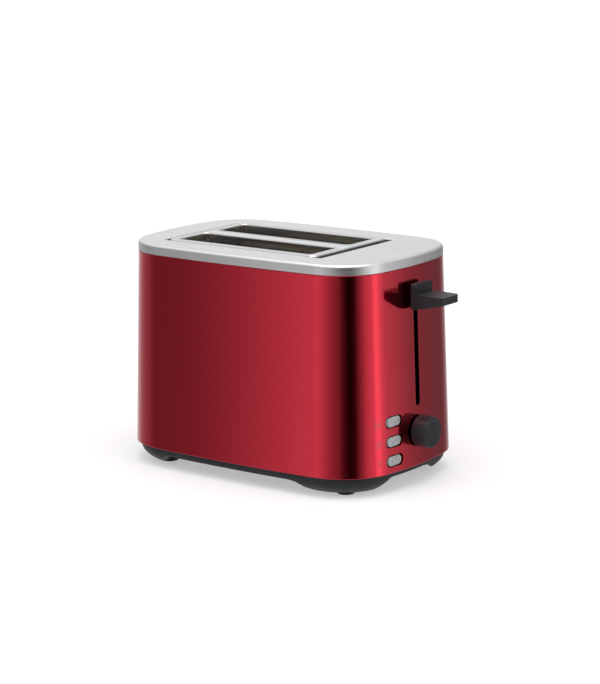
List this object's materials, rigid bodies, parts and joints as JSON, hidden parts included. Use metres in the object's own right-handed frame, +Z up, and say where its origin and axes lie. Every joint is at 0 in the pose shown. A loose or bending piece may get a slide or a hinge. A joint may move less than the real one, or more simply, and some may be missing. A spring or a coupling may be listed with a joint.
{
  "type": "pop up toaster",
  "caption": "Pop up toaster with long bread slots, bowed painted shell, brushed steel top, sprung lever, buttons, browning knob and slide-out crumb tray.",
  "frame": {"origin": "on the table, under the middle of the whole outline including the lever and the tray handle", "axes": "+X along the body towards the lever end, +Y towards the right long side as seen by a user who faces the lever end, +Z up"},
  "size_m": [0.299, 0.171, 0.1918],
  "materials": {
    "painted_shell": "glossy metallic red lacquer",
    "brushed_top": "bright brushed",
    "slot_steel": "bright",
    "black_plastic": "satin black",
    "rubber": "matte",
    "button_plastic": "satin translucent grey",
    "sheet_steel": "plain sheet",
    "wire_steel": "polished wire",
    "reflector_steel": "heat tinted",
    "mica": "mica sheet",
    "nichrome": "oxidised ribbon",
    "circuit_board": "green laminate",
    "component_black": "moulded",
    "copper": "enamelled copper winding",
    "nylon": "natural nylon",
    "terminal_plastic": "white",
    "wire_sleeve": "glass fibre sleeve"
  },
  "bodies": {
    "root": {"outer_shell": "painted_shell", "top_cover": "brushed_top", "slot_frame": "slot_steel", "base": "black_plastic", "rubber_feet": "rubber", "base_screws": "sheet_steel", "front_end_plate": "sheet_steel", "rear_end_plate": "sheet_steel", "left_reflector": "reflector_steel", "right_reflector": "reflector_steel", "left_element_board": "mica", "centre_element_board": "mica", "right_element_board": "mica", "left_heating_ribbon": "nichrome", "centre_heating_ribbon": "nichrome", "right_heating_ribbon": "nichrome", "guide_rods": "wire_steel", "top_bracket": "sheet_steel", "lift_springs": "wire_steel", "control_panel_frame": "black_plastic", "control_board": "circuit_board", "board_components": "component_black", "button_switches": "component_black", "timer_potentiometer": "sheet_steel", "magnet_core": "sheet_steel", "magnet_coil": "copper", "terminal_block": "terminal_plastic", "internal_wires": "wire_sleeve", "cord_gland": "rubber"},
    "carriage": {"carriage": "sheet_steel", "carriage_bushes": "nylon", "lever_arm": "sheet_steel", "armature": "sheet_steel", "lever_knob": "black_plastic", "left_bread_rack": "slot_steel", "right_bread_rack": "slot_steel"},
    "left_outer_guide": {"left_outer_guide": "wire_steel"},
    "left_inner_guide": {"left_inner_guide": "wire_steel"},
    "right_inner_guide": {"right_inner_guide": "wire_steel"},
    "right_outer_guide": {"right_outer_guide": "wire_steel"},
    "browning_knob": {"browning_knob": "black_plastic", "timer_shaft": "wire_steel"},
    "reheat_button": {"reheat_button": "button_plastic"},
    "defrost_button": {"defrost_button": "button_plastic"},
    "cancel_button": {"cancel_button": "button_plastic"},
    "crumb_tray": {"crumb_tray": "slot_steel", "tray_handle": "black_plastic"}
  },
  "joints": [
    {"name": "lever_slide", "type": "slide", "parent": "root", "child": "carriage", "axis": [0, 0, 1], "range_m": [-0.082, 0], "stiffness_N_per_m": 80, "springref_m": 0.04, "deforming": ["lift_springs"]},
    {"name": "left_outer_guide_slide", "type": "slide", "parent": "root", "child": "left_outer_guide", "axis": [0, 1, 0], "range_m": [0, 0.0069]},
    {"name": "left_inner_guide_slide", "type": "slide", "parent": "root", "child": "left_inner_guide", "axis": [0, -1, 0], "range_m": [0, 0.0069]},
    {"name": "right_inner_guide_slide", "type": "slide", "parent": "root", "child": "right_inner_guide", "axis": [0, 1, 0], "range_m": [0, 0.0069]},
    {"name": "right_outer_guide_slide", "type": "slide", "parent": "root", "child": "right_outer_guide", "axis": [0, -1, 0], "range_m": [0, 0.0069]},
    {"name": "browning_turn", "type": "hinge", "parent": "root", "child": "browning_knob", "pos_m": [0.11846, 0, 0.0458], "axis": [1, 0, 0], "range_deg": [-135, 135]},
    {"name": "reheat_button_press", "type": "slide", "parent": "root", "child": "reheat_button", "axis": [-1, 0, 0], "range_m": [0, 0.0018], "stiffness_N_per_m": 400, "springref_m": -0.002},
    {"name": "defrost_button_press", "type": "slide", "parent": "root", "child": "defrost_button", "axis": [-1, 0, 0], "range_m": [0, 0.0018], "stiffness_N_per_m": 400, "springref_m": -0.002},
    {"name": "cancel_button_press", "type": "slide", "parent": "root", "child": "cancel_button", "axis": [-1, 0, 0], "range_m": [0, 0.0018], "stiffness_N_per_m": 400, "springref_m": -0.002},
    {"name": "crumb_tray_slide", "type": "slide", "parent": "root", "child": "crumb_tray", "axis": [-1, 0, 0], "range_m": [0, 0.19]}
  ],
  "couplings": [
    {"joint": "left_outer_guide_slide", "follows": "lever_slide", "ratio": -0.083333},
    {"joint": "left_inner_guide_slide", "follows": "lever_slide", "ratio": -0.083333},
    {"joint": "right_inner_guide_slide", "follows": "lever_slide", "ratio": -0.083333},
    {"joint": "right_outer_guide_slide", "follows": "lever_slide", "ratio": -0.083333}
  ]
}
